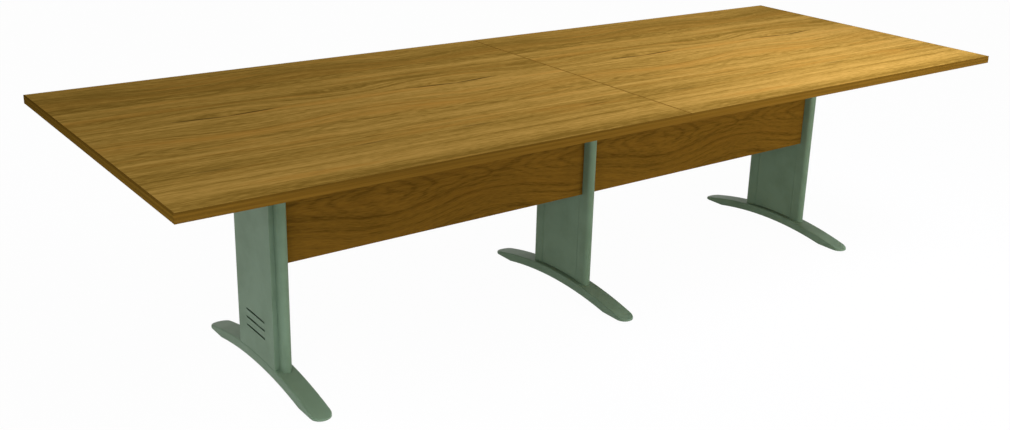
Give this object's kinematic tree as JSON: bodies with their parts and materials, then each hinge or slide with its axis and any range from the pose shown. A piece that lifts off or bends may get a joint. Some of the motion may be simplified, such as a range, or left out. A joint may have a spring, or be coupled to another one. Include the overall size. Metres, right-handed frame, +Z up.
{
  "type": "conference table",
  "caption": "Rectangular meeting table with a split wood-print board top, edge bands, oblong-tube pedestal legs on arched pressed feet, modesty panels, clip-on cable covers and levelling glides.",
  "frame": {"origin": "on the floor under the middle of the top", "axes": "+X along the table, +Y away from the modesty panels, +Z up"},
  "size_m": [3, 1.1, 0.74],
  "materials": {
    "melamine": "satin wood-print melamine, grain along the table",
    "edging": "satin wood-print edge band",
    "panel_wood": "satin wood-print melamine, darker than the top",
    "paint": "satin grey-green powder coat",
    "zinc": "zinc-plated steel",
    "black_plastic": "moulded black plastic"
  },
  "bodies": {
    "table": {"top_board_left": "melamine", "top_board_right": "melamine", "edge_band_left_front": "edging", "edge_band_left_rear": "edging", "edge_band_left_end": "edging", "edge_band_left_seam": "edging", "edge_band_right_front": "edging", "edge_band_right_rear": "edging", "edge_band_right_end": "edging", "edge_band_right_seam": "edging", "joint_plate_front": "zinc", "joint_plate_rear": "zinc", "foot_left": "paint", "foot_middle": "paint", "foot_right": "paint", "top_beam_left": "paint", "top_beam_middle": "paint", "top_beam_right": "paint", "column_left_front": "paint", "column_left_rear": "paint", "column_middle_front": "paint", "column_middle_rear": "paint", "column_right_front": "paint", "column_right_rear": "paint", "inner_plate_left": "paint", "inner_plate_middle_left": "paint", "inner_plate_middle_right": "paint", "inner_plate_right": "paint", "cover_clip_left_lower": "zinc", "cover_clip_left_upper": "zinc", "cover_clip_right_lower": "zinc", "cover_clip_right_upper": "zinc", "glide_plate_left_front": "zinc", "glide_plate_left_rear": "zinc", "glide_plate_middle_front": "zinc", "glide_plate_middle_rear": "zinc", "glide_plate_right_front": "zinc", "glide_plate_right_rear": "zinc", "modesty_panel_left": "panel_wood", "modesty_panel_right": "panel_wood", "panel_bracket_left_outer": "zinc", "panel_bracket_left_inner": "zinc", "panel_bracket_right_outer": "zinc", "panel_bracket_right_inner": "zinc"},
    "glide_left_front_body": {"glide_left_front": "black_plastic"},
    "glide_left_rear_body": {"glide_left_rear": "black_plastic"},
    "glide_middle_front_body": {"glide_middle_front": "black_plastic"},
    "glide_middle_rear_body": {"glide_middle_rear": "black_plastic"},
    "glide_right_front_body": {"glide_right_front": "black_plastic"},
    "glide_right_rear_body": {"glide_right_rear": "black_plastic"},
    "cover_left_body": {"cable_cover_left": "paint"},
    "cover_right_body": {"cable_cover_right": "paint"}
  },
  "joints": [
    {"name": "glide_left_front_level", "type": "slide", "parent": "table", "child": "glide_left_front_body", "axis": [0, 0, -1], "range_m": [0, 0.01]},
    {"name": "glide_left_rear_level", "type": "slide", "parent": "table", "child": "glide_left_rear_body", "axis": [0, 0, -1], "range_m": [0, 0.01]},
    {"name": "glide_middle_front_level", "type": "slide", "parent": "table", "child": "glide_middle_front_body", "axis": [0, 0, -1], "range_m": [0, 0.01]},
    {"name": "glide_middle_rear_level", "type": "slide", "parent": "table", "child": "glide_middle_rear_body", "axis": [0, 0, -1], "range_m": [0, 0.01]},
    {"name": "glide_right_front_level", "type": "slide", "parent": "table", "child": "glide_right_front_body", "axis": [0, 0, -1], "range_m": [0, 0.01]},
    {"name": "glide_right_rear_level", "type": "slide", "parent": "table", "child": "glide_right_rear_body", "axis": [0, 0, -1], "range_m": [0, 0.01]},
    {"name": "cover_left_pull", "type": "slide", "parent": "table", "child": "cover_left_body", "axis": [-1, 0, 0], "range_m": [0, 0.06]},
    {"name": "cover_right_pull", "type": "slide", "parent": "table", "child": "cover_right_body", "axis": [1, 0, 0], "range_m": [0, 0.06]}
  ]
}
